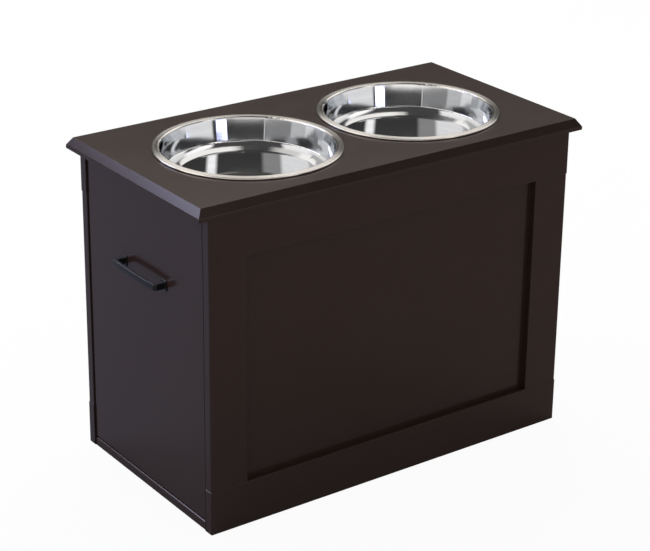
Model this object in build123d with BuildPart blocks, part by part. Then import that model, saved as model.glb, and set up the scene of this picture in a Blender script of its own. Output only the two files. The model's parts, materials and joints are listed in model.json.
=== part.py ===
from build123d import *
import os

# Raised feeder for large dogs.  Two steel bowls hang in the top of a long cabinet,
# and the whole left end of the cabinet is the front of a deep food drawer.
#
# X is the cabinet's length, and the drawer opens towards -X.
# Y is its depth, and the front is at -Y.  Z is up, from the floor.
# All sizes are in millimetres.

# ---------------------------------------------------------------- driving sizes
overall_length = 600.0
overall_depth = 318.0
overall_height = 440.0

# Top plate
plate_thickness = 15.0
plate_bevel_run = 7.0
plate_bevel_drop = 10.5
plate_edge_radius = 1.8
plate_overhang_end = 16.5
plate_overhang_face = 5.5

# Framed front and back
frame_thickness = 15.0
rail_height = 60.0
stile_width = 54.2
stile_setback = 0.6
panel_thickness = 6.0
rebate_width = 8.0
rebate_end_gap = 0.4
arris = 0.5
corner_radius = 2.0

# Closed end, floor and battens of the cabinet
end_thickness = 15.0
end_recess = 2.0
floor_thickness = 12.0
floor_recess = 1.5
floor_bevel = 1.2
batten_side = 18.0
batten_end_gap = 13.0
batten_bowl_gap = 3.0

# Drawer
drawer_front_thickness = 15.0
drawer_side_thickness = 12.0
drawer_back_thickness = 12.0
drawer_bottom_thickness = 3.0
groove_depth = 6.0
groove_height = 10.0
drawer_back_gap = 29.0
front_side_gap = 1.5
front_foot_gap = 2.0
front_head_gap = 2.5
box_under_bowls = 12.0

# Drawer runners, folded from steel strip
runner_space = 12.5
runner_steel = 1.2
runner_bend = 1.5
runner_front_gap = 3.0
channel_above_floor = 8.0
channel_height = 26.0
channel_depth = 10.3
channel_lip = 4.2
box_above_channel_base = 6.0
drawer_ledge = 11.0
drawer_flange = 8.3
flange_end_gap = 3.0

# Rollers of the runners
front_roller_radius = 9.0
back_roller_radius = 10.0
roller_width = 5.4
roller_rim = 2.0
roller_hub = 2.0
roller_dish = 0.9
roller_ease = 0.6
roller_clearance = 0.3
roller_collar = 1.4
front_roller_inset = 14.0
back_roller_inset = 15.0
flange_over_roller = 0.3
rivet_radius = 2.5
rivet_head_radius = 3.6
rivet_head = 1.0
rivet_clearance = 0.05

# Bowls, pressed from steel sheet
bowl_spacing = 256.0
bowl_forward = 4.0
bowl_rim_radius = 122.0
bowl_rim_width = 10.0
bowl_rim_fall = 0.5
bowl_rim_drop = 1.3
bowl_rim_curl = 1.2
bowl_rim_bend = 0.3
bowl_mouth_bend = 1.6
bowl_steel = 0.8
bowl_wall_depth = 33.0
bowl_wall_draft = 5.5
bowl_floor_radius = 90.0
bowl_depth = 40.0
bowl_step_bend = 3.0
bowl_floor_bend = 5.0
bowl_seat_clearance = 0.3
cutout_clearance = 1.5

# Bow handle on the drawer front
handle_pitch = 96.0
handle_projection = 18.5
handle_height = 8.5
handle_grip = 5.0
handle_leg = 8.0
handle_bow = 1.6
handle_outer_corner = 5.0
handle_inner_corner = 3.0
handle_edge = 1.5
handle_foot_length = 13.0
handle_foot_height = 14.0
handle_foot_thickness = 1.8
handle_foot_edge = 0.8
handle_below_plate = 121.5

# Hardware
dowel_radius = 3.0
dowel_length = 30.0
dowel_ease = 0.6
dowel_inset = 12.0
cam_radius = 7.5
cam_depth = 12.5
small_cam_radius = 6.0
small_cam_depth = 9.5
cam_distance = 24.0
cam_end_inset = 28.0
cam_floor_inset = 60.0
cam_slot = 1.2
cam_slot_depth = 1.5
cam_clearance = 0.3
cam_count = 3
bolt_radius = 2.5
bolt_neck_radius = 1.6
bolt_head_radius = 3.0
bolt_grip = 9.0
wood_screw_radius = 1.8
wood_screw_head_radius = 3.7
wood_screw_point = 4.0
batten_screw_length = 28.0
batten_screw_inset = 25.0
rail_screws = 4
plate_screws = 3
box_screw_length = 36.0
box_joint_inset = 60.0
runner_screw_radius = 1.7
runner_screw_head_radius = 2.8
runner_screw_head = 1.1
runner_screw_length = 9.0
runner_screw_inset = 40.0
runner_screws = 3
screw_head_margin = 1.5
handle_screw_radius = 2.0
handle_screw_head_radius = 3.9
handle_screw_head = 2.2
handle_screw_bite = 6.0
cross_width = 0.9

# ------------------------------------------------------------- derived placing
# Cabinet shell.  Sizes in Y are for the back, and the front is its mirror image.
body_height = overall_height - plate_thickness
face_y = overall_depth / 2 - plate_overhang_face
inner_y = face_y - frame_thickness
end_x = overall_length / 2 - plate_overhang_end
stile_face_y = face_y - stile_setback
stile_end_x = end_x - stile_setback
stile_inner_x = stile_end_x - stile_width
stile_height = body_height - 2 * rail_height
middle_z = body_height / 2
panel_end_x = end_x - end_recess
end_inner_x = panel_end_x - end_thickness
floor_end_x = end_x - floor_recess
batten_y = inner_y - batten_side / 2
batten_base = body_height - batten_side
batten_half = end_inner_x - batten_end_gap

# Bowls
rim_top = overall_height + bowl_seat_clearance + 2 * bowl_steel + bowl_rim_drop
bowl_underside = rim_top - bowl_depth - bowl_steel
cutout_radius = bowl_rim_radius - bowl_rim_width + bowl_steel + cutout_clearance
bowl_places = {
    "left": (-bowl_spacing / 2, -bowl_forward),
    "right": (bowl_spacing / 2, -bowl_forward),
}

# Runners and drawer box
channel_base = floor_thickness + channel_above_floor
channel_web_y = inner_y - runner_steel
box_y = inner_y - runner_space
box_inner_y = box_y - drawer_side_thickness
box_base = channel_base + box_above_channel_base
box_top = bowl_underside - box_under_bowls
box_height = box_top - box_base
front_inner_x = drawer_front_thickness - panel_end_x
box_back_x = end_inner_x - drawer_back_gap
box_length = box_back_x - front_inner_x
box_back_inner_x = box_back_x - drawer_back_thickness
drawer_web_y = box_y + runner_steel
runner_x = front_inner_x + runner_front_gap

# Rollers: the front pair turns on the cabinet, the back pair turns on the drawer.
roller_outer_y = channel_web_y - roller_collar - roller_clearance
roller_inner_y = roller_outer_y - roller_width
front_roller_x = runner_x + front_roller_inset
back_roller_x = box_back_x - back_roller_inset
back_roller_z = channel_base + runner_steel + roller_clearance + back_roller_radius
flange_z = back_roller_z + back_roller_radius
front_roller_z = flange_z - flange_over_roller - front_roller_radius
handle_z = body_height - handle_below_plate

FRONT, BACK = -1, 1
LEFT, RIGHT = -1, 1
FACES = {"front": FRONT, "back": BACK}
SIDES = {"left": LEFT, "right": RIGHT}
BELOW = (Align.CENTER, Align.CENTER, Align.MAX)
near = 0.01
os.makedirs("parts", exist_ok=True)


def keep(builder, name):
    """Label a finished piece and write it out."""
    builder.part.label = name
    export_step(builder.part, f"parts/{name}.step")


def spread(first, last, count):
    """Evenly spaced positions from first to last, both included."""
    return [first + (last - first) * i / (count - 1) for i in range(count)]


def facing(origin, outward, along=(1, 0, 0)):
    """A place whose Z points outward and whose X points along."""
    return Plane(origin=origin, x_dir=along, z_dir=outward).location


def sunk(places, depth):
    """The same places, moved back along their own Z."""
    return [place * Location((0, 0, -depth)) for place in places]


def turned(points):
    """A solid turned about Z from a closed half outline of (radius, height) points."""
    with BuildPart() as piece:
        with BuildSketch(Plane.XZ):
            with BuildLine():
                Polyline(*points, close=True)
            make_face()
        revolve(axis=Axis.Z)
    return piece.part


def gather(template, places):
    """One group of separate copies of a template."""
    with BuildPart() as group:
        with Locations(*places):
            add(template)
    return group.part


def joined(groups):
    """One builder that holds several groups."""
    with BuildPart() as whole:
        for group in groups:
            add(group)
    return whole


# ------------------------------------------------------------------- fasteners
def cross_cut(piece, width, span, depth, top):
    """The same piece with a cross recess in its top face."""
    with BuildPart() as result:
        add(piece)
        with BuildSketch(Plane.XY.offset(top)):
            Rectangle(span, width)
            Rectangle(width, span)
        extrude(amount=-depth, mode=Mode.SUBTRACT)
    return result.part


def wood_screw(length):
    """Countersunk screw, its head's face at Z = 0: the plain blank, then the screw."""
    cone = wood_screw_head_radius - wood_screw_radius
    blank = turned([
        (0, 0),
        (wood_screw_head_radius, 0),
        (wood_screw_radius, -cone),
        (wood_screw_radius, wood_screw_point - length),
        (0, -length),
    ])
    return blank, cross_cut(blank, cross_width, wood_screw_head_radius, cone / 2, 0)


def pan_screw(radius, head_radius, head, length):
    """Pan head screw, its head standing on Z = 0: the plain blank, then the screw."""
    ease = head / 3
    blank = turned([
        (0, -length),
        (radius, -length),
        (radius, 0),
        (head_radius, 0),
        (head_radius, head - ease),
        (head_radius - ease, head),
        (0, head),
    ])
    return blank, cross_cut(blank, cross_width, head_radius, head / 2, head)


def roller_rivet(collar):
    """Rivet for a roller, from the steel strip it is rooted in at Z = 0."""
    shank_end = collar + roller_width + 2 * roller_clearance
    return turned([
        (0, -runner_steel),
        (rivet_radius, -runner_steel),
        (rivet_radius, 0),
        (rivet_head_radius, 0),
        (rivet_head_radius, collar),
        (rivet_radius, collar),
        (rivet_radius, shank_end),
        (rivet_head_radius, shank_end),
        (rivet_head_radius, shank_end + rivet_head / 2),
        (rivet_head_radius - rivet_head / 2, shank_end + rivet_head),
        (0, shank_end + rivet_head),
    ])


def dowel():
    """Wooden dowel along Z, centred, with eased ends."""
    half = dowel_length / 2
    return turned([
        (0, -half),
        (dowel_radius - dowel_ease, -half),
        (dowel_radius, dowel_ease - half),
        (dowel_radius, half - dowel_ease),
        (dowel_radius - dowel_ease, half),
        (0, half),
    ])


def cam_lock(radius, depth, axis_depth):
    """Cam lock with its face at Z = 0 and a pocket that opens towards +X."""
    pocket = 2 * (bolt_head_radius + cam_clearance)
    neck = 2 * (bolt_neck_radius + cam_clearance)
    with BuildPart() as cam:
        Cylinder(radius, depth, align=BELOW)
        with Locations((0, 0, -axis_depth)):
            Box(pocket, pocket, pocket, mode=Mode.SUBTRACT)
            Box(radius, neck, neck, align=(Align.MIN, Align.CENTER, Align.CENTER),
                mode=Mode.SUBTRACT)
    return cross_cut(cam.part, cam_slot, radius, cam_slot_depth, 0)


def cam_bolt(radius):
    """Bolt along X with its head in a cam at the origin and its thread in the board."""
    with BuildPart() as bolt:
        with BuildSketch(Plane.XY):
            with BuildLine():
                Polyline(
                    (-bolt_head_radius, 0),
                    (-bolt_head_radius / 2, bolt_head_radius),
                    (bolt_head_radius / 2, bolt_head_radius),
                    (bolt_head_radius / 2, bolt_neck_radius),
                    (radius, bolt_neck_radius),
                    (radius, bolt_radius),
                    (cam_distance + bolt_grip, bolt_radius),
                    (cam_distance + bolt_grip, 0),
                    close=True,
                )
            make_face()
        revolve(axis=Axis.X)
    return bolt.part


class CamJoint:
    """Cams let into one board, with bolts that cross into the board beside it."""

    def __init__(self, radius, depth, board, places):
        axis_places = sunk(places, board / 2)
        self.cams = gather(cam_lock(radius, depth, board / 2), places)
        self.bolts = gather(cam_bolt(radius), axis_places)
        with BuildPart() as passage:
            with BuildSketch(Plane.YZ):
                Circle(bolt_radius + cam_clearance)
            extrude(amount=cam_distance)
        with BuildPart() as space:
            with Locations(*places):
                Cylinder(radius, depth, align=BELOW)
            add(gather(passage.part, axis_places))
            add(self.bolts)
        self.space = space.part


def end_cams(face):
    """The closed end's cams, in its inner face."""
    heights = spread(floor_thickness + cam_end_inset, body_height - cam_end_inset, cam_count)
    y = face * (inner_y - cam_distance)
    places = [facing((end_inner_x, y, z), (-1, 0, 0), (0, face, 0)) for z in heights]
    return CamJoint(cam_radius, cam_depth, end_thickness, places)


def floor_cams(face):
    """The floor board's cams, in its underside."""
    y = face * (inner_y - cam_distance)
    stations = spread(cam_floor_inset - floor_end_x, floor_end_x - cam_floor_inset, cam_count)
    places = [facing((x, y, 0), (0, 0, -1), (0, face, 0)) for x in stations]
    return CamJoint(small_cam_radius, small_cam_depth, floor_thickness, places)


box_joint_z = (box_base + box_joint_inset, box_top - box_joint_inset)


def box_cams(face):
    """The drawer sides' cams, which draw the drawer front on."""
    x = front_inner_x + cam_distance
    places = [facing((x, face * box_inner_y, z), (0, -face, 0), (-1, 0, 0)) for z in box_joint_z]
    return CamJoint(small_cam_radius, small_cam_depth, drawer_side_thickness, places)


def dowel_places(face):
    """Dowels stand across both ends of each stile."""
    y = face * (inner_y + frame_thickness / 2)
    stations = (stile_inner_x + rebate_width + dowel_inset, stile_end_x - dowel_inset)
    return [
        Location((side * x, y, z))
        for side in SIDES.values()
        for x in stations
        for z in (rail_height, body_height - rail_height)
    ]


def batten_screw_places(face):
    """Screws up into the top plate, and out into the top rail."""
    rail_span = batten_half - batten_screw_inset
    plate_span = rail_span - batten_screw_inset
    into_plate = [
        facing((x, face * batten_y, batten_base), (0, 0, -1))
        for x in spread(-plate_span, plate_span, plate_screws)
    ]
    into_rail = [
        facing((x, face * (inner_y - batten_side), batten_base + batten_side / 2),
               (0, -face, 0))
        for x in spread(-rail_span, rail_span, rail_screws)
    ]
    return into_plate + into_rail


def runner_screw_places(face, web_y, outward, start_x, z):
    """Screws along a runner, with their heads on its steel."""
    stations = spread(start_x + runner_screw_inset,
                      start_x + box_length - runner_screw_inset, runner_screws)
    return [facing((x, face * web_y, z), (0, outward * face, 0)) for x in stations]


def box_screw_places(face):
    """Screws through a drawer side into the end of the drawer back."""
    x = box_back_x - drawer_back_thickness / 2
    return [facing((x, face * box_y, z), (0, face, 0)) for z in box_joint_z]


channel_screw_z = (channel_base + channel_height - runner_steel
                   - runner_screw_head_radius - screw_head_margin)
drawer_screw_z = box_base + runner_screw_head_radius + 2 * screw_head_margin
handle_screw_places = [
    facing((front_inner_x, y, handle_z), (1, 0, 0), (0, 1, 0))
    for y in (-handle_pitch / 2, handle_pitch / 2)
]

batten_blank, batten_screw = wood_screw(batten_screw_length)
box_blank, box_screw = wood_screw(box_screw_length)
runner_blank, runner_screw = pan_screw(
    runner_screw_radius, runner_screw_head_radius, runner_screw_head, runner_screw_length)
handle_blank, handle_screw = pan_screw(
    handle_screw_radius, handle_screw_head_radius, handle_screw_head,
    drawer_front_thickness + handle_screw_bite)

end_joint = {face: end_cams(face) for face in FACES.values()}
floor_joint = {face: floor_cams(face) for face in FACES.values()}
box_joint = {face: box_cams(face) for face in FACES.values()}
dowels = {face: gather(dowel(), dowel_places(face)) for face in FACES.values()}
batten_holes = {face: gather(batten_blank, batten_screw_places(face)) for face in FACES.values()}
box_holes = {face: gather(box_blank, box_screw_places(face)) for face in FACES.values()}
channel_places = {
    face: runner_screw_places(face, channel_web_y, -1, runner_x, channel_screw_z)
    for face in FACES.values()
}
slide_places = {
    face: runner_screw_places(face, drawer_web_y, 1, front_inner_x, drawer_screw_z)
    for face in FACES.values()
}
channel_holes = {face: gather(runner_blank, channel_places[face]) for face in FACES.values()}
slide_holes = {face: gather(runner_blank, slide_places[face]) for face in FACES.values()}
handle_holes = gather(handle_blank, handle_screw_places)

keep(joined(dowels.values()), "frame_dowels")
keep(joined(joint.cams for joint in (*end_joint.values(), *floor_joint.values())),
     "cabinet_cam_locks")
keep(joined(joint.bolts for joint in (*end_joint.values(), *floor_joint.values())),
     "cabinet_cam_bolts")
keep(joined(joint.cams for joint in box_joint.values()), "drawer_cam_locks")
keep(joined(joint.bolts for joint in box_joint.values()), "drawer_cam_bolts")
keep(joined(gather(batten_screw, batten_screw_places(face)) for face in FACES.values()),
     "batten_screws")
keep(joined(gather(box_screw, box_screw_places(face)) for face in FACES.values()),
     "drawer_back_screws")
keep(joined(gather(runner_screw, channel_places[face]) for face in FACES.values()),
     "cabinet_runner_screws")
keep(joined(gather(runner_screw, slide_places[face]) for face in FACES.values()),
     "drawer_runner_screws")
keep(joined([gather(handle_screw, handle_screw_places)]), "handle_screws")

# ------------------------------------------------------------------- top plate
with BuildPart() as top_panel:
    with BuildSketch(Plane.XY.offset(body_height)):
        Rectangle(overall_length, overall_depth)
    extrude(amount=plate_thickness)
    top_face = top_panel.faces().sort_by(Axis.Z)[-1]
    chamfer(top_face.edges(), length=plate_bevel_run, length2=plate_bevel_drop,
            reference=top_face)
    lip_z = overall_height - plate_bevel_drop
    lip_edges = top_panel.edges().filter_by_position(Axis.Z, lip_z - near, lip_z + near)
    fillet(lip_edges, radius=plate_edge_radius)
    with Locations(*((x, y, overall_height) for x, y in bowl_places.values())):
        Hole(radius=cutout_radius)
    for face in FACES.values():
        add(batten_holes[face], mode=Mode.SUBTRACT)
keep(top_panel, "top_panel")


# ------------------------------------------------------------- front and back
def outer_edges(piece, outer_y):
    """The edges that lie in a frame member's outer face."""
    return piece.edges().filter_by_position(Axis.Y, outer_y - near, outer_y + near)


def slab(face, x, z, width, height, depth):
    """A block that stands outwards from the inner face of a frame, centred at x and z."""
    with BuildPart() as block:
        with BuildSketch(Plane(origin=(x, face * inner_y, z), x_dir=(1, 0, 0),
                               z_dir=(0, face, 0))):
            Rectangle(width, height)
        extrude(amount=depth)
    return block.part


def rail(face, base, rebate_base):
    """A full length rail, with a stopped rebate for the panel along its inner edge."""
    rebate_half = stile_inner_x + rebate_width + rebate_end_gap
    with BuildPart() as piece:
        add(slab(face, 0, base + rail_height / 2, 2 * end_x, rail_height, frame_thickness))
        fillet(outer_edges(piece, face * face_y).filter_by(Axis.Z), radius=corner_radius)
        chamfer(outer_edges(piece, face * face_y).filter_by(Axis.X), length=arris)
        add(slab(face, 0, rebate_base + rebate_width / 2, 2 * rebate_half,
                 rebate_width + 2 * rebate_end_gap, panel_thickness), mode=Mode.SUBTRACT)
        for space in (dowels[face], batten_holes[face], channel_holes[face],
                      end_joint[face].space, floor_joint[face].space):
            add(space, mode=Mode.SUBTRACT)
    return piece


def stile(face, side):
    """An upright between the rails, set back a little from their face and ends."""
    with BuildPart() as piece:
        add(slab(face, side * (stile_inner_x + stile_width / 2), middle_z, stile_width,
                 stile_height, frame_thickness - stile_setback))
        edges = outer_edges(piece, face * stile_face_y).filter_by(Axis.Z).sort_by(Axis.X)
        fillet(edges[-1 if side == RIGHT else 0], radius=corner_radius)
        edges = outer_edges(piece, face * stile_face_y).filter_by(Axis.Z).sort_by(Axis.X)
        chamfer(edges[0 if side == RIGHT else -1], length=arris)
        add(slab(face, side * (stile_inner_x + rebate_width / 2), middle_z,
                 rebate_width + 2 * rebate_end_gap, stile_height, panel_thickness),
            mode=Mode.SUBTRACT)
        for space in (dowels[face], end_joint[face].space):
            add(space, mode=Mode.SUBTRACT)
    return piece


def flat_panel(face):
    """The thin panel that fills a frame, laid in the rebates from inside."""
    width = 2 * (stile_inner_x + rebate_width)
    return joined([slab(face, 0, middle_z, width, stile_height + 2 * rebate_width, panel_thickness)])


for face_name, face in FACES.items():
    top_base = body_height - rail_height
    keep(rail(face, top_base, top_base), f"{face_name}_top_rail")
    keep(rail(face, 0, rail_height - rebate_width), f"{face_name}_bottom_rail")
    keep(flat_panel(face), f"{face_name}_panel")
    for side_name, side in SIDES.items():
        keep(stile(face, side), f"{face_name}_{side_name}_stile")

# ---------------------------------------------------- closed end, floor, battens
with BuildPart() as right_end_panel:
    with BuildSketch(Plane.YZ.offset(end_inner_x)):
        with Locations((0, (floor_thickness + body_height) / 2)):
            Rectangle(2 * inner_y, body_height - floor_thickness)
    extrude(amount=end_thickness)
    outer_face = right_end_panel.faces().sort_by(Axis.X)[-1]
    chamfer(outer_face.edges().filter_by(Axis.Z), length=arris)
    for face in FACES.values():
        add(end_joint[face].space, mode=Mode.SUBTRACT)
keep(right_end_panel, "right_end_panel")

with BuildPart() as floor_board:
    with BuildSketch(Plane.XY):
        Rectangle(2 * floor_end_x, 2 * inner_y)
    extrude(amount=floor_thickness)
    chamfer(floor_board.edges().filter_by(Axis.Y).group_by(Axis.Z)[-1], length=floor_bevel)
    for face in FACES.values():
        add(floor_joint[face].space, mode=Mode.SUBTRACT)
keep(floor_board, "floor_board")

for face_name, face in FACES.items():
    with BuildPart() as batten:
        with BuildSketch(Plane.XY.offset(batten_base)):
            with Locations((0, face * batten_y)):
                Rectangle(2 * batten_half, batten_side)
        extrude(amount=batten_side)
        lower_edges = batten.edges().filter_by(Axis.X).group_by(Axis.Z)[0].sort_by(Axis.Y)
        chamfer(lower_edges[-1 if face == FRONT else 0], length=2 * arris)
        with Locations(*((x, y, body_height) for x, y in bowl_places.values())):
            Cylinder(cutout_radius + batten_bowl_gap, batten_side, align=BELOW,
                     mode=Mode.SUBTRACT)
        add(batten_holes[face], mode=Mode.SUBTRACT)
    keep(batten, f"{face_name}_batten")


# --------------------------------------------------------------------- runners
def strip(points, start_x, length):
    """Steel strip folded along its outer bend points in (Y, Z), and run along X."""
    with BuildPart() as piece:
        with BuildSketch(Plane.YZ.offset(start_x)):
            with BuildLine():
                FilletPolyline(*points, radius=runner_bend)
                offset(amount=runner_steel, side=Side.RIGHT)
            make_face()
        extrude(amount=length)
    return piece.part


open_y = inner_y - channel_depth
channel_top = channel_base + channel_height
channel_strip = strip(
    [
        (open_y, channel_top),
        (inner_y, channel_top),
        (inner_y, channel_base),
        (open_y, channel_base),
        (open_y, channel_base + channel_lip),
    ],
    runner_x, box_length)
ledge_z = box_base - runner_steel
drawer_strip = strip(
    [
        (drawer_web_y + drawer_flange, flange_z),
        (drawer_web_y, flange_z),
        (drawer_web_y, ledge_z),
        (box_y - drawer_ledge, ledge_z),
    ],
    front_inner_x, box_length)

front_rivet = roller_rivet(roller_collar)
back_rivet = roller_rivet(roller_inner_y - roller_clearance - drawer_web_y)
front_rivets = {
    face: gather(front_rivet,
                 [facing((front_roller_x, face * channel_web_y, front_roller_z), (0, -face, 0))])
    for face in FACES.values()
}
back_rivets = {
    face: gather(back_rivet,
                 [facing((back_roller_x, face * drawer_web_y, back_roller_z), (0, face, 0))])
    for face in FACES.values()
}
flange_end_x = back_roller_x - back_roller_radius - flange_end_gap

for face_name, face in FACES.items():
    with BuildPart() as cabinet_runner:
        if face == BACK:
            add(channel_strip)
        else:
            mirror(channel_strip, about=Plane.XZ)
        add(channel_holes[face], mode=Mode.SUBTRACT)
        add(front_rivets[face], mode=Mode.SUBTRACT)
    keep(cabinet_runner, f"{face_name}_cabinet_runner")

    with BuildPart() as drawer_runner:
        if face == BACK:
            add(drawer_strip)
        else:
            mirror(drawer_strip, about=Plane.XZ)
        with BuildSketch(Plane.XY.offset(flange_z)):
            with Locations((flange_end_x, face * drawer_web_y)):
                Rectangle(box_length, 2 * drawer_flange,
                          align=(Align.MIN, Align.MIN if face == BACK else Align.MAX))
        extrude(amount=runner_steel, mode=Mode.SUBTRACT)
        add(slide_holes[face], mode=Mode.SUBTRACT)
        add(back_rivets[face], mode=Mode.SUBTRACT)
    keep(drawer_runner, f"{face_name}_drawer_runner")

keep(joined(front_rivets.values()), "cabinet_roller_rivets")
keep(joined(back_rivets.values()), "drawer_roller_rivets")


def roller(radius):
    """Moulded wheel from Z = 0 up: an eased tread and dished sides round a hub."""
    bore = rivet_radius + rivet_clearance
    hub = bore + roller_hub
    rim = radius - roller_rim
    far = roller_width
    return turned([
        (bore, 0),
        (hub, 0),
        (hub, roller_dish),
        (rim, roller_dish),
        (rim, 0),
        (radius - roller_ease, 0),
        (radius, roller_ease),
        (radius, far - roller_ease),
        (radius - roller_ease, far),
        (rim, far),
        (rim, far - roller_dish),
        (hub, far - roller_dish),
        (hub, far),
        (bore, far),
    ])


for face_name, face in FACES.items():
    for owner, radius, x, z in (
        ("cabinet", front_roller_radius, front_roller_x, front_roller_z),
        ("drawer", back_roller_radius, back_roller_x, back_roller_z),
    ):
        place = facing((x, face * roller_inner_y, z), (0, face, 0))
        keep(joined([gather(roller(radius), [place])]), f"{face_name}_{owner}_roller")

# ---------------------------------------------------------------------- drawer
groove_base = box_base + groove_height
bottom_half_y = box_inner_y + groove_depth - rebate_end_gap
bottom_front_x = front_inner_x - groove_depth + rebate_end_gap
bottom_back_x = box_back_inner_x + groove_depth - rebate_end_gap

with BuildPart() as groove_cutter:
    with BuildSketch(Plane.XY.offset(groove_base)):
        with Locations((front_inner_x - groove_depth, 0)):
            Rectangle(box_back_inner_x - front_inner_x + 2 * groove_depth,
                      2 * (box_inner_y + groove_depth), align=(Align.MIN, Align.CENTER))
    extrude(amount=drawer_bottom_thickness)

with BuildPart() as drawer_front:
    front_base = floor_thickness + front_foot_gap
    front_top = body_height - front_head_gap
    with BuildSketch(Plane.YZ.offset(-panel_end_x)):
        with Locations((0, (front_base + front_top) / 2)):
            Rectangle(2 * (inner_y - front_side_gap), front_top - front_base)
    extrude(amount=drawer_front_thickness)
    chamfer(drawer_front.faces().sort_by(Axis.X)[0].edges(), length=arris)
    add(groove_cutter.part, mode=Mode.SUBTRACT)
    add(handle_holes, mode=Mode.SUBTRACT)
    for face in FACES.values():
        add(box_joint[face].space, mode=Mode.SUBTRACT)
keep(drawer_front, "drawer_front")

for face_name, face in FACES.items():
    with BuildPart() as drawer_side:
        with BuildSketch(Plane.XY.offset(box_base)):
            with Locations((front_inner_x, face * (box_y + box_inner_y) / 2)):
                Rectangle(box_length, drawer_side_thickness, align=(Align.MIN, Align.CENTER))
        extrude(amount=box_height)
        chamfer(drawer_side.edges().filter_by(Axis.X), length=arris / 2)
        add(groove_cutter.part, mode=Mode.SUBTRACT)
        for space in (box_joint[face].space, box_holes[face], slide_holes[face]):
            add(space, mode=Mode.SUBTRACT)
    keep(drawer_side, f"drawer_{face_name}_side")

with BuildPart() as drawer_back:
    with BuildSketch(Plane.XY.offset(box_base)):
        with Locations((box_back_inner_x, 0)):
            Rectangle(drawer_back_thickness, 2 * box_inner_y, align=(Align.MIN, Align.CENTER))
    extrude(amount=box_height)
    chamfer(drawer_back.edges().filter_by(Axis.Y).group_by(Axis.Z)[-1], length=arris)
    add(groove_cutter.part, mode=Mode.SUBTRACT)
    for face in FACES.values():
        add(box_holes[face], mode=Mode.SUBTRACT)
keep(drawer_back, "drawer_back")

with BuildPart() as drawer_bottom:
    with BuildSketch(Plane.XY.offset(groove_base)):
        with Locations((bottom_front_x, 0)):
            Rectangle(bottom_back_x - bottom_front_x, 2 * bottom_half_y,
                      align=(Align.MIN, Align.CENTER))
    extrude(amount=drawer_bottom_thickness)
keep(drawer_bottom, "drawer_bottom")

# ---------------------------------------------------------------------- handle
mount_x = -panel_end_x
with BuildPart() as feet:
    with BuildSketch(Plane.YZ.offset(mount_x)) as outline:
        with Locations((-handle_pitch / 2, handle_z), (handle_pitch / 2, handle_z)):
            Rectangle(handle_foot_length, handle_foot_height)
        fillet(outline.vertices(), radius=handle_edge)
    extrude(amount=-handle_foot_thickness)
    outer_faces = feet.faces().sort_by(Axis.X)[:2]
    fillet(outer_faces[0].edges() + outer_faces[1].edges(), radius=handle_foot_edge)

with BuildPart() as handle:
    outer_x = mount_x - handle_projection + handle_bow
    grip_x = outer_x + handle_grip
    outer_y = (handle_pitch + handle_leg) / 2
    gap_y = (handle_pitch - handle_leg) / 2
    with BuildSketch(Plane.XY.offset(handle_z - handle_height / 2)):
        with BuildLine():
            Line((mount_x, -outer_y), (outer_x, -outer_y))
            ThreePointArc((outer_x, -outer_y), (outer_x - handle_bow, 0), (outer_x, outer_y))
            Polyline((outer_x, outer_y), (mount_x, outer_y), (mount_x, gap_y), (grip_x, gap_y))
            ThreePointArc((grip_x, gap_y), (grip_x - handle_bow, 0), (grip_x, -gap_y))
            Polyline((grip_x, -gap_y), (mount_x, -gap_y), (mount_x, -outer_y))
        bow = make_face()
        fillet(bow.vertices().group_by(Axis.X)[0], radius=handle_outer_corner)
        inside = [v for v in bow.vertices() if abs(v.X - grip_x) < near]
        fillet(inside, radius=handle_inner_corner)
    extrude(amount=handle_height)
    rims = handle.faces().filter_by(Axis.Z)
    grip_edges = [
        edge for rim in rims for edge in rim.edges()
        if abs(edge.center().X - mount_x) > near
    ]
    fillet(grip_edges, radius=handle_edge)
    add(feet.part)
    add(handle_holes, mode=Mode.SUBTRACT)
keep(handle, "handle")

# ----------------------------------------------------------------------- bowls
wall_top = bowl_rim_radius - bowl_rim_width + bowl_steel
wall_foot = wall_top - bowl_wall_draft
rim_edge = bowl_rim_radius - bowl_steel
rim_under = rim_top - bowl_steel
curl_z = overall_height + bowl_seat_clearance + bowl_steel
for side_name, (bowl_x, bowl_y) in bowl_places.items():
    with BuildPart() as bowl:
        with BuildSketch(Plane.XZ):
            with BuildLine():
                FilletPolyline(
                    (0, bowl_underside),
                    (bowl_floor_radius, bowl_underside),
                    (wall_foot, rim_top - bowl_wall_depth),
                    (wall_top, rim_under),
                    (rim_edge, rim_under - bowl_rim_fall),
                    (rim_edge, curl_z),
                    (rim_edge - bowl_rim_curl, curl_z),
                    radius=(bowl_floor_bend, bowl_step_bend, bowl_mouth_bend,
                            bowl_rim_bend, bowl_rim_bend),
                )
                offset(amount=bowl_steel, side=Side.LEFT)
            make_face()
        revolve(axis=Axis.Z)
    with BuildPart() as hung_bowl:
        with Locations((bowl_x, bowl_y, 0)):
            add(bowl.part)
    keep(hung_bowl, f"{side_name}_bowl")
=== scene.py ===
import json
import math

import bmesh
import bpy
from mathutils import Matrix, Vector


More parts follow.
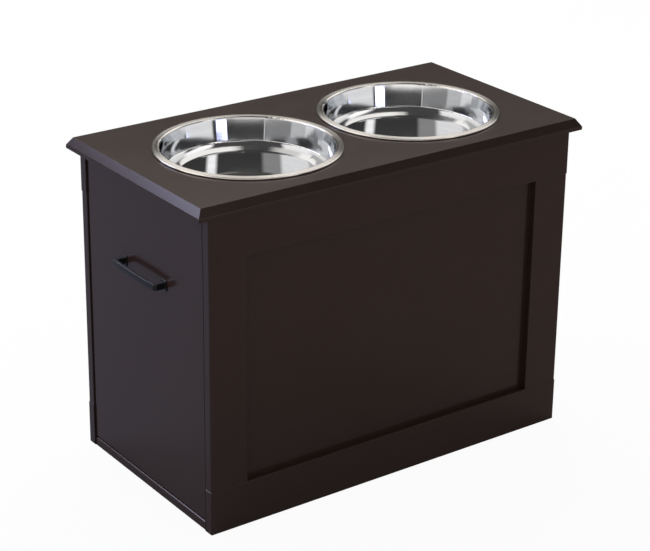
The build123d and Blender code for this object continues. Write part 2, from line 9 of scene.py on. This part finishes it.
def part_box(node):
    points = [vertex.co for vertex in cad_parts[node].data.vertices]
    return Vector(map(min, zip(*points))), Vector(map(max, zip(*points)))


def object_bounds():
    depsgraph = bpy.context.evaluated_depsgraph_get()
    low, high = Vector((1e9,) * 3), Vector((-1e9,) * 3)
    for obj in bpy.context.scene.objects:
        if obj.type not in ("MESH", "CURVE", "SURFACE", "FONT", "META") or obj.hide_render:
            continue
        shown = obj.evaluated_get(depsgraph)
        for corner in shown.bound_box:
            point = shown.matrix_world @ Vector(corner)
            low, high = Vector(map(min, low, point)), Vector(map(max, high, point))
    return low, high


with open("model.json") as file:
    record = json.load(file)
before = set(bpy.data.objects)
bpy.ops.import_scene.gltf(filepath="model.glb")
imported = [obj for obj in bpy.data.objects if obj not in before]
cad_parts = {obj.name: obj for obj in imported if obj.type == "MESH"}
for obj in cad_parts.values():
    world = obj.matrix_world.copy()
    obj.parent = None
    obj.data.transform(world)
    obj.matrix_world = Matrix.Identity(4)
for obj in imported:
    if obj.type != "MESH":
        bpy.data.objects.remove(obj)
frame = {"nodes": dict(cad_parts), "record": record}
cad_low, cad_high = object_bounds()

# Raised dog feeder: dark lacquered boards, two brushed steel bowls, a black bow handle on the drawer.
# All lengths are in metres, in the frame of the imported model.

# ------------------------------------------------------------------ the view
# The camera looks at AIM from DISTANCE away, and the frame is shifted to where the feeder stands in it.
AIM = Vector((-0.0151, 0.0472, 0.2951))
AZIMUTH = math.radians(-35.154)
ELEVATION = math.radians(21.711)
ROLL = math.radians(0.389)
DISTANCE = 2.6754
LENS = 110.435
SENSOR = 36.0
SHIFT = (0.0430, -0.0816)

# ------------------------------------------------------- places from the frame
MIDDLE = (Vector(cad_low) + Vector(cad_high)) / 2
BOWL_CENTRES = {
    name: (Vector(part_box(name)[0]) + Vector(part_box(name)[1])) / 2
    for name in ("left_bowl", "right_bowl")
}
bowl_low, bowl_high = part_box("left_bowl")
RIM_RADIUS = (bowl_high.x - bowl_low.x) / 2
RIM_WIDTH = 0.0100
MOUTH_RADIUS = RIM_RADIUS - RIM_WIDTH
stile_low, stile_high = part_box("front_left_stile")
FRAME_END = stile_low.x
FRAME_INNER = -stile_high.y

# ------------------------------------------------------------------- finishes
ESPRESSO = (0.0310, 0.0164, 0.0124)
# A paler brown: the random tone drifts toward it, and the edges take it as a painted highlight.
ESPRESSO_PALER_AND_HIGHLIGHT = (0.0440, 0.0270, 0.0220)
# Painted shade for the dark line beside the drawer.
SEAM_PAINTED_SHADE = (0.0040, 0.0025, 0.0022)
BOARD_PALE = (0.62, 0.47, 0.31)
BOARD_DARK = (0.47, 0.33, 0.20)
STEEL = (0.70, 0.72, 0.75)
STEEL_DULL = (0.64, 0.66, 0.69)
RIM_STEEL = (0.84, 0.83, 0.81)
HANDLE_BLACK = (0.0040, 0.0040, 0.0044)
HANDLE_RUBBED = (0.0070, 0.0070, 0.0076)
ENAMEL = (0.62, 0.61, 0.58)
ENAMEL_WORN = (0.50, 0.49, 0.46)
NYLON = (0.74, 0.74, 0.71)
NYLON_DULL = (0.66, 0.66, 0.62)
ZINC = (0.56, 0.57, 0.59)
ZINC_DULL = (0.45, 0.46, 0.50)
FLOOR_WHITE = (0.94, 0.94, 0.94)
# Painted shade and tint: the floor as gloss sees it, darker than to the eye, warm in front of the feeder and
# cool behind.
FLOOR_GLOSS_SHADE_FRONT = (0.30, 0.225, 0.215)
FLOOR_GLOSS_SHADE_BEHIND = (0.19, 0.21, 0.27)
WHITE = (1.0, 1.0, 1.0)

# Painted shade: a dark line beside the drawer, on the ends of the frames, where the shadow of the gap falls.
SEAM_SHADE_WIDTH = 0.0020
SEAM_SHADE_DEPTH = 0.0006

# Where the satin of the bowls' rims starts and is full, beside the edge of the mouth.
SATIN_STARTS, SATIN_FULL = -0.0006, 0.0012
RING_PITCH = 0.00045
# The brushing runs round the bowl, so highlights are drawn out across it.
BRUSHED = 0.95
ACROSS_THE_RINGS = 0.25


# ------------------------------------------------------------- writing recipes
class Recipe:
    """Writes a node tree: each call places one node and feeds its inputs."""

    def __init__(self, tree):
        self.tree = tree

    def feed(self, socket, source):
        """Links a socket to another node's output, or sets it to a plain value."""
        if isinstance(source, bpy.types.NodeSocket):
            self.tree.links.new(source, socket)
        elif socket.type == "RGBA":
            socket.default_value = (*source, 1.0)
        else:
            socket.default_value = source

    def place(self, kind, inputs=None, **settings):
        """Places a node, with inputs given by name or by number."""
        node = self.tree.nodes.new("ShaderNode" + kind)
        for name, value in settings.items():
            setattr(node, name, value)
        for key, source in (inputs or {}).items():
            self.feed(node.inputs[key], source)
        return node

    def sums(self, operation, *values):
        """One step of arithmetic."""
        return self.place("Math", dict(enumerate(values)), operation=operation).outputs[0]

    def span(self, value, from_low, from_high, to_low, to_high):
        """Maps one range to another, clamped."""
        node = self.place("MapRange", {
            "Value": value, "From Min": from_low, "From Max": from_high,
            "To Min": to_low, "To Max": to_high,
        })
        return node.outputs["Result"]

    def blend(self, factor, first, second):
        """A colour between two."""
        node = self.place("Mix", data_type="RGBA")
        self.feed(node.inputs["Factor"], factor)
        self.feed(node.inputs[6], first)
        self.feed(node.inputs[7], second)
        return node.outputs[2]

    def noise(self, vector, scale, detail=2.0, roughness=0.5):
        """A soft random value around 0.5."""
        node = self.place("TexNoise", {
            "Vector": vector, "Scale": scale, "Detail": detail, "Roughness": roughness,
        })
        return node.outputs["Fac"]

    def here(self):
        """The object's own coordinates."""
        return self.place("TexCoord").outputs["Object"]

    def moved(self, vector, place=(0, 0, 0), stretch=(1, 1, 1)):
        """The same coordinates, shifted and stretched."""
        node = self.place("Mapping", {
            "Vector": vector, "Location": tuple(place), "Scale": tuple(stretch),
        })
        return node.outputs[0]

    def effect(self, group, **values):
        """Places one of the shared effects, with its own values."""
        node = self.place("Group", node_tree=group)
        for name, value in values.items():
            self.feed(node.inputs[name], value)
        return node.outputs

    def relief(self, height, depth, strength=1.0, normal=None):
        """A bump from a height between 0 and 1, in metres."""
        inputs = {"Height": height, "Distance": depth, "Strength": strength}
        if normal is not None:
            inputs["Normal"] = normal
        return self.place("Bump", inputs).outputs["Normal"]


KINDS = {"vector": "NodeSocketVector", "value": "NodeSocketFloat", "colour": "NodeSocketColor"}


def shared_effect(name, takes, gives):
    """An empty shader node group, with named sockets: its recipe, inputs and outputs."""
    group = bpy.data.node_groups.new(name, "ShaderNodeTree")
    for socket, (kind, default) in takes.items():
        made = group.interface.new_socket(socket, in_out="INPUT", socket_type=KINDS[kind])
        if kind != "vector":
            made.default_value = default
    for socket, kind in gives.items():
        group.interface.new_socket(socket, in_out="OUTPUT", socket_type=KINDS[kind])
    recipe = Recipe(group)
    start = group.nodes.new("NodeGroupInput").outputs
    end = group.nodes.new("NodeGroupOutput").inputs
    return recipe, start, end


def make_soft_edges():
    """Rounds the light over sharp edges, and finds how near an edge is."""
    recipe, start, end = shared_effect(
        "soft_edges", {"Radius": ("value", 0.0006)}, {"Normal": "vector", "Edge": "value"})
    rounded = recipe.place("Bevel", {"Radius": start["Radius"]}, samples=6).outputs[0]
    flat = recipe.place("NewGeometry").outputs["Normal"]
    agree = recipe.place("VectorMath", {0: rounded, 1: flat}, operation="DOT_PRODUCT").outputs["Value"]
    recipe.feed(end["Normal"], rounded)
    recipe.feed(end["Edge"], recipe.span(agree, 1.0, 0.85, 0.0, 1.0))
    return recipe.tree


def make_sprayed_coat():
    """Spray lacquer: faint ripple, and gloss and tone that drift slowly."""
    recipe, start, end = shared_effect(
        "sprayed_coat",
        {"Vector": ("vector", None), "Gloss": ("value", 0.35), "Drift": ("value", 0.04)},
        {"Tone": "value", "Roughness": "value", "Height": "value"})
    ripple = recipe.noise(start["Vector"], 240.0, 1.0, 0.4)
    cloud = recipe.noise(start["Vector"], 9.0, 3.0, 0.55)
    fine = recipe.noise(start["Vector"], 60.0, 2.0, 0.5)
    swing = recipe.sums("MULTIPLY", recipe.sums("SUBTRACT", cloud, 0.5), start["Drift"])
    grit = recipe.sums("MULTIPLY", recipe.sums("SUBTRACT", fine, 0.5), start["Drift"])
    recipe.feed(end["Tone"], recipe.sums("MULTIPLY_ADD", fine, 0.4, recipe.sums("MULTIPLY", cloud, 0.6)))
    recipe.feed(end["Roughness"], recipe.sums("ADD", start["Gloss"], recipe.sums("ADD", swing, grit)))
    recipe.feed(end["Height"], ripple)
    return recipe.tree


def make_board_grain():
    """Grain along X: broad bands, fine fibres and a slow warp."""
    recipe, start, end = shared_effect(
        "board_grain", {"Vector": ("vector", None)},
        {"Grain": "value", "Height": "value"})
    warp = recipe.noise(recipe.moved(start["Vector"], stretch=(0.6, 4.0, 4.0)), 4.0, 3.0, 0.5)
    bands = recipe.noise(recipe.moved(start["Vector"], stretch=(1.0, 22.0, 22.0)), 5.0, 4.0, 0.6)
    fibre = recipe.noise(recipe.moved(start["Vector"], stretch=(4.0, 260.0, 260.0)), 6.0, 2.0, 0.6)
    mixed = recipe.sums("MULTIPLY_ADD", fibre, 0.35, recipe.sums("MULTIPLY", bands, 0.5))
    recipe.feed(end["Grain"], recipe.sums("MULTIPLY_ADD", warp, 0.25, mixed))
    recipe.feed(end["Height"], fibre)
    return recipe.tree


def make_turned_rings():
    """Fine rings left by spinning and polishing, round the Z axis through Vector's origin."""
    recipe, start, end = shared_effect(
        "turned_rings", {"Vector": ("vector", None), "Pitch": ("value", 0.0004)},
        {"Ring": "value", "Broad": "value", "Radius": "value"})
    split = recipe.place("SeparateXYZ", {0: start["Vector"]}).outputs
    squares = recipe.sums("ADD", recipe.sums("MULTIPLY", split["X"], split["X"]),
                          recipe.sums("MULTIPLY", split["Y"], split["Y"]))
    radius = recipe.sums("SQRT", squares)
    along = recipe.sums("SUBTRACT", radius, split["Z"])
    steps = recipe.sums("DIVIDE", along, start["Pitch"])
    turn = recipe.sums("MULTIPLY", recipe.sums("ARCTAN2", split["Y"], split["X"]), 0.6)
    fine = recipe.place("CombineXYZ", {"X": steps, "Y": turn}).outputs[0]
    broad = recipe.place("CombineXYZ", {"X": recipe.sums("MULTIPLY", steps, 0.08), "Y": turn}).outputs[0]
    recipe.feed(end["Ring"], recipe.noise(fine, 1.0, 1.0, 0.5))
    recipe.feed(end["Broad"], recipe.noise(broad, 1.0, 3.0, 0.6))
    recipe.feed(end["Radius"], radius)
    return recipe.tree


SOFT_EDGES = make_soft_edges()
SPRAYED_COAT = make_sprayed_coat()
BOARD_GRAIN = make_board_grain()
TURNED_RINGS = make_turned_rings()


def new_finish(name):
    """A material with one Principled shader: the material, its recipe and the shader."""
    material = bpy.data.materials.new(name)
    material.use_nodes = True
    recipe = Recipe(material.node_tree)
    shader = material.node_tree.nodes["Principled BSDF"]
    return material, recipe, shader


def seam_shade_mask(recipe, here):
    """1 along the inner arris of the frames' ends beside the drawer, where a painted shade line stands for
    the shadow of the gap.
    """
    way = recipe.place("SeparateXYZ", {0: here}).outputs
    inward = recipe.sums("ABSOLUTE", way["Y"])
    beside = recipe.sums("LESS_THAN", inward, FRAME_INNER + SEAM_SHADE_WIDTH)
    at_end = recipe.sums("LESS_THAN", way["X"], FRAME_END + SEAM_SHADE_DEPTH)
    return recipe.sums("MULTIPLY", beside, at_end)


def espresso_lacquer(name, seam_shaded=False):
    """Dark brown satin lacquer on board, a touch paler along its edges as a painted highlight."""
    material, recipe, shader = new_finish(name)
    edges = recipe.effect(SOFT_EDGES, Radius=0.0004)
    here = recipe.here()
    coat = recipe.effect(SPRAYED_COAT, Vector=here, Gloss=0.20, Drift=0.04)
    shade = recipe.span(coat["Tone"], 0.3, 0.7, 0.0, 0.18)
    # Painted highlight: the edges are made paler.
    edge_highlight = recipe.sums("MULTIPLY", edges["Edge"], 0.25)
    colour = recipe.blend(recipe.sums("MAXIMUM", shade, edge_highlight), ESPRESSO, ESPRESSO_PALER_AND_HIGHLIGHT)
    gloss = coat["Roughness"]
    if seam_shaded:
        # Painted shade: the line beside the drawer is darkened and its gloss dulled.
        seam_shade = seam_shade_mask(recipe, here)
        colour = recipe.blend(seam_shade, colour, SEAM_PAINTED_SHADE)
        gloss = recipe.sums("MAXIMUM", gloss, recipe.sums("MULTIPLY", seam_shade, 0.9))
    recipe.feed(shader.inputs["Base Color"], colour)
    recipe.feed(shader.inputs["Roughness"], gloss)
    recipe.feed(shader.inputs["Normal"], recipe.relief(
        coat["Height"], depth=0.000006, strength=0.3, normal=edges["Normal"]))
    shader.inputs["IOR"].default_value = 1.5
    return material


def pale_board():
    """Plain sealed board, with its grain along the drawer."""
    material, recipe, shader = new_finish("pale_board")
    edges = recipe.effect(SOFT_EDGES, Radius=0.0005)
    grain = recipe.effect(BOARD_GRAIN, Vector=recipe.here())
    tone = recipe.span(grain["Grain"], 0.38, 0.70, 0.0, 1.0)
    recipe.feed(shader.inputs["Base Color"], recipe.blend(tone, BOARD_PALE, BOARD_DARK))
    recipe.feed(shader.inputs["Roughness"], recipe.span(grain["Grain"], 0.4, 0.7, 0.48, 0.60))
    recipe.feed(shader.inputs["Normal"], recipe.relief(
        grain["Height"], depth=0.00008, strength=0.5, normal=edges["Normal"]))
    return material


def bowl_steel(name, centre):
    """Spun stainless steel, brushed round its axis: a satin rim and a brighter bowl."""
    material, recipe, shader = new_finish(name)
    vector = recipe.moved(recipe.here(), place=(-centre.x, -centre.y, 0.0))
    rings = recipe.effect(TURNED_RINGS, Vector=vector, Pitch=RING_PITCH)
    rim = recipe.span(rings["Radius"], MOUTH_RADIUS + SATIN_STARTS, MOUTH_RADIUS + SATIN_FULL, 0.0, 1.0)
    polish = recipe.span(rings["Broad"], 0.3, 0.7, 0.045, 0.065)
    satin = recipe.span(rings["Ring"], 0.3, 0.7, 0.22, 0.28)
    recipe.feed(shader.inputs["Roughness"], recipe.place(
        "Mix", {"Factor": rim, 2: polish, 3: satin}, data_type="FLOAT").outputs[0])
    tone = recipe.span(rings["Broad"], 0.3, 0.7, 0.0, 1.0)
    turned = recipe.blend(tone, STEEL, STEEL_DULL)
    recipe.feed(shader.inputs["Base Color"], recipe.blend(rim, turned, RIM_STEEL))
    recipe.feed(shader.inputs["Normal"], recipe.relief(rings["Ring"], depth=0.000002, strength=0.5))
    recipe.feed(shader.inputs["Tangent"], recipe.place(
        "Tangent", direction_type="RADIAL", axis="Z").outputs[0])
    shader.inputs["Metallic"].default_value = 1.0
    shader.inputs["Anisotropic"].default_value = BRUSHED
    shader.inputs["Anisotropic Rotation"].default_value = ACROSS_THE_RINGS
    return material


def handle_black():
    """Smooth black coating on the bow handle."""
    material, recipe, shader = new_finish("handle_black")
    edges = recipe.effect(SOFT_EDGES, Radius=0.0004)
    coat = recipe.effect(SPRAYED_COAT, Vector=recipe.here(), Gloss=0.24, Drift=0.06)
    shade = recipe.span(coat["Tone"], 0.3, 0.7, 0.0, 1.0)
    recipe.feed(shader.inputs["Base Color"], recipe.blend(shade, HANDLE_BLACK, HANDLE_RUBBED))
    recipe.feed(shader.inputs["Roughness"], coat["Roughness"])
    recipe.feed(shader.inputs["Normal"], recipe.relief(
        coat["Height"], depth=0.00001, strength=0.3, normal=edges["Normal"]))
    return material


def runner_enamel():
    """Baked off-white coating on the folded runners."""
    material, recipe, shader = new_finish("runner_enamel")
    edges = recipe.effect(SOFT_EDGES, Radius=0.0003)
    coat = recipe.effect(SPRAYED_COAT, Vector=recipe.here(), Gloss=0.38, Drift=0.08)
    recipe.feed(shader.inputs["Base Color"], recipe.blend(
        recipe.sums("MULTIPLY", edges["Edge"], 0.5), ENAMEL, ENAMEL_WORN))
    recipe.feed(shader.inputs["Roughness"], coat["Roughness"])
    recipe.feed(shader.inputs["Normal"], recipe.relief(
        coat["Height"], depth=0.00003, strength=0.5, normal=edges["Normal"]))
    return material


def roller_plastic():
    """Moulded white nylon."""
    material, recipe, shader = new_finish("roller_plastic")
    edges = recipe.effect(SOFT_EDGES, Radius=0.0003)
    coat = recipe.effect(SPRAYED_COAT, Vector=recipe.here(), Gloss=0.42, Drift=0.06)
    shade = recipe.span(coat["Tone"], 0.3, 0.7, 0.0, 1.0)
    recipe.feed(shader.inputs["Base Color"], recipe.blend(shade, NYLON, NYLON_DULL))
    recipe.feed(shader.inputs["Roughness"], coat["Roughness"])
    recipe.feed(shader.inputs["Normal"], edges["Normal"])
    return material


def zinc_plate():
    """Bright zinc plate on screws, bolts, cams and rivets."""
    material, recipe, shader = new_finish("zinc_plate")
    edges = recipe.effect(SOFT_EDGES, Radius=0.0002)
    cloud = recipe.noise(recipe.here(), 300.0, 3.0, 0.6)
    recipe.feed(shader.inputs["Base Color"], recipe.blend(
        recipe.span(cloud, 0.3, 0.7, 0.0, 1.0), ZINC, ZINC_DULL))
    recipe.feed(shader.inputs["Roughness"], recipe.span(cloud, 0.3, 0.7, 0.24, 0.40))
    recipe.feed(shader.inputs["Normal"], edges["Normal"])
    shader.inputs["Metallic"].default_value = 1.0
    return material


def dress_nodes():
    """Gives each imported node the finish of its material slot."""
    # The frames' stiles and rails carry the painted shade line beside the drawer.
    frame_with_seam_shade = espresso_lacquer("espresso_frame_seam_shade", seam_shaded=True)
    finishes = {
        "espresso_wood": espresso_lacquer("espresso_board"),
        "pale_board": pale_board(),
        "handle_black": handle_black(),
        "runner_enamel": runner_enamel(),
        "roller_plastic": roller_plastic(),
        "zinc": zinc_plate(),
    }
    slots = {row["node"]: row["material_slot"] for row in frame["record"]["subparts"]}
    for name, piece in frame["nodes"].items():
        if name in BOWL_CENTRES:
            finish = bowl_steel(name + "_steel", BOWL_CENTRES[name])
        elif name.endswith(("left_stile", "top_rail", "bottom_rail")):
            finish = frame_with_seam_shade
        else:
            finish = finishes[slots[name]]
        piece.data.materials.clear()
        piece.data.materials.append(finish)


# -------------------------------------------------------------- floor and light
FLOOR_REACH = 9.0
FLOOR_TURN = 0.4
FLOOR_GLOW = 0.95
GLOSS_GLOW = 0.06
# The plain light from all round, and how it leans: brighter behind the feeder, dimmer overhead.
AMBIENT = 0.57
LEAN = (0.16, 0.38, -0.15)
LAMP_DISTANCE = 2.6

# The studio that gloss sees: white screens with dark gaps, in three rows one above the other, each
# screen given by its two edges in degrees from +X and its brightness.
LOW_SCREENS = ((11, 14, 1.1), (150, 255, 1.5), (255, 300, 1.0), (300, 370, 0.45))
MIDDLE_SCREENS = ((-10, 110, 1.3), (110, 135, 0.75), (135, 185, 1.4), (185, 214, 0.45), (285, 300, 1.8))
HIGH_SCREENS = ((-20, 0, 1.9), (20, 50, 1.3), (80, 100, 0.9), (100, 150, 1.5), (255, 290, 0.75))
GAP = 0.07
CEILING = 0.10
SCREEN_EDGE = 3.0
SCREEN_TINT = (1.0, 0.95, 0.89)
# The heights, in degrees, between which each row of screens gives way to the next.
LOW_TO_MIDDLE, MIDDLE_TO_HIGH, HIGH_TO_CEILING = (22.5, 24.0), (45.0, 49.0), (66.0, 69.0)


def white_floor():
    """A pale sweep that reads as white, and still takes the feeder's shadow; in gloss it is painted darker,
    warm in front and cool behind.
    """
    mesh = bpy.data.meshes.new("floor")
    shape = bmesh.new()
    bmesh.ops.create_grid(shape, x_segments=1, y_segments=1, size=FLOOR_REACH)
    shape.to_mesh(mesh)
    shape.free()
    floor = bpy.data.objects.new("floor", mesh)
    bpy.context.scene.collection.objects.link(floor)
    material = bpy.data.materials.new("white_sweep")
    material.use_nodes = True
    tree = material.node_tree
    tree.nodes.clear()
    recipe = Recipe(tree)
    rays = recipe.place("LightPath").outputs
    plain = recipe.sums("MAXIMUM", rays["Is Camera Ray"], rays["Is Transmission Ray"])
    way = recipe.place("SeparateXYZ", {0: recipe.here()}).outputs
    behind = recipe.span(recipe.sums("SUBTRACT", way["Y"], way["X"]), -FLOOR_TURN, FLOOR_TURN, 0.0, 1.0)
    # Painted shade: to gloss the floor is dark, warm in front and cool behind.
    gloss_shade = recipe.blend(behind, FLOOR_GLOSS_SHADE_FRONT, FLOOR_GLOSS_SHADE_BEHIND)
    tone = recipe.blend(rays["Is Glossy Ray"], FLOOR_WHITE, gloss_shade)
    paint = recipe.place("BsdfDiffuse", {"Color": tone}).outputs[0]
    glow = recipe.place("Emission", {"Strength": 1.0}).outputs[0]
    share = recipe.sums("ADD", recipe.sums("MULTIPLY", plain, FLOOR_GLOW),
                        recipe.sums("MULTIPLY", rays["Is Glossy Ray"], GLOSS_GLOW))
    mixed = recipe.place("MixShader", {0: share, 1: paint, 2: glow}).outputs[0]
    tree.links.new(mixed, tree.nodes.new("ShaderNodeOutputMaterial").inputs["Surface"])
    mesh.materials.append(material)


def row_of_screens(recipe, turn, screens):
    """The brightness of one row of screens, by the direction turned to."""
    level = GAP
    for start, end, brightness in screens:
        middle = (start + end) / 2
        reach = (end - start) / 2
        edge = min(SCREEN_EDGE, reach / 2)
        aside = recipe.sums("WRAP", recipe.sums("SUBTRACT", turn, middle), 180.0, -180.0)
        aside = recipe.sums("ABSOLUTE", aside)
        screen = recipe.span(aside, reach - edge, reach + edge, brightness - GAP, 0.0)
        level = recipe.sums("ADD", screen, level)
    return level


def studio_world():
    """White to the eye, a plain soft light, and for gloss a studio of white screens and dark gaps."""
    world = bpy.data.worlds.new("studio")
    bpy.context.scene.world = world
    world.use_nodes = True
    tree = world.node_tree
    tree.nodes.clear()
    recipe = Recipe(tree)
    here = recipe.place("TexCoord").outputs["Generated"]
    way = recipe.place("SeparateXYZ", {0: here}).outputs
    turn = recipe.sums("DEGREES", recipe.sums("ARCTAN2", way["Y"], way["X"]))
    around = row_of_screens(recipe, turn, LOW_SCREENS)
    for (start, full), above in (
        (LOW_TO_MIDDLE, row_of_screens(recipe, turn, MIDDLE_SCREENS)),
        (MIDDLE_TO_HIGH, row_of_screens(recipe, turn, HIGH_SCREENS)),
        (HIGH_TO_CEILING, (CEILING, CEILING, CEILING)),
    ):
        rise = recipe.span(way["Z"], math.sin(math.radians(start)), math.sin(math.radians(full)), 0.0, 1.0)
        around = recipe.blend(rise, around, above)
    around = recipe.place("VectorMath", {0: around, 1: SCREEN_TINT}, operation="MULTIPLY").outputs[0]
    lean = recipe.place("VectorMath", {0: here, 1: LEAN}, operation="DOT_PRODUCT").outputs["Value"]
    soft = recipe.sums("MULTIPLY_ADD", lean, AMBIENT, AMBIENT)
    rays = recipe.place("LightPath").outputs
    plain = recipe.sums("MAXIMUM", rays["Is Camera Ray"], rays["Is Transmission Ray"])
    lit = recipe.blend(plain, recipe.place("CombineXYZ", {0: soft, 1: soft, 2: soft}).outputs[0], WHITE)
    colour = recipe.blend(rays["Is Glossy Ray"], lit, around)
    sky = recipe.place("Background", {"Color": colour, "Strength": 1.0}).outputs[0]
    tree.links.new(sky, tree.nodes.new("ShaderNodeOutputWorld").inputs["Surface"])


def softbox(name, azimuth, elevation, size, power, tint=WHITE, glossy=False):
    """An area light that faces the feeder, from a direction in degrees: for gloss alone, or for the rest."""
    turn, rise = math.radians(azimuth), math.radians(elevation)
    out = Vector((math.cos(turn) * math.cos(rise), math.sin(turn) * math.cos(rise), math.sin(rise)))
    lamp = bpy.data.lights.new(name, "AREA")
    lamp.shape = "RECTANGLE"
    lamp.size, lamp.size_y = size
    lamp.energy = power
    lamp.color = tint
    holder = bpy.data.objects.new(name, lamp)
    holder.location = MIDDLE + out * LAMP_DISTANCE
    holder.rotation_mode = "QUATERNION"
    holder.rotation_quaternion = (-out).to_track_quat("-Z", "Y")
    holder.visible_glossy = glossy
    holder.visible_diffuse = not glossy
    bpy.context.scene.collection.objects.link(holder)


def lights():
    """A broad light above, a cool one behind the left end, and a cool strip there for gloss alone."""
    softbox("overhead", azimuth=60, elevation=44, size=(2.2, 2.2), power=32)
    softbox("left_back", azimuth=139, elevation=31, size=(2.0, 1.2), power=24, tint=(0.66, 0.68, 1.0))
    softbox("cool_strip", azimuth=129, elevation=26, size=(1.2, 0.36), power=8.5,
            tint=(0.70, 0.71, 1.0), glossy=True)


def camera():
    """The photograph's view."""
    data = bpy.data.cameras.new("camera")
    data.lens = LENS
    data.sensor_width = SENSOR
    data.sensor_fit = "HORIZONTAL"
    data.shift_x, data.shift_y = SHIFT
    eye = bpy.data.objects.new("camera", data)
    back = Vector((math.sin(AZIMUTH) * math.cos(ELEVATION), -math.cos(AZIMUTH) * math.cos(ELEVATION),
                   math.sin(ELEVATION)))
    eye.rotation_mode = "QUATERNION"
    upright = (-back).to_track_quat("-Z", "Y").to_matrix()
    eye.rotation_quaternion = (upright @ Matrix.Rotation(ROLL, 3, "Z")).to_quaternion()
    eye.location = AIM + back * DISTANCE
    bpy.context.scene.collection.objects.link(eye)
    bpy.context.scene.camera = eye


dress_nodes()
white_floor()
studio_world()
lights()
camera()
bpy.context.scene.view_settings.view_transform = "Standard"
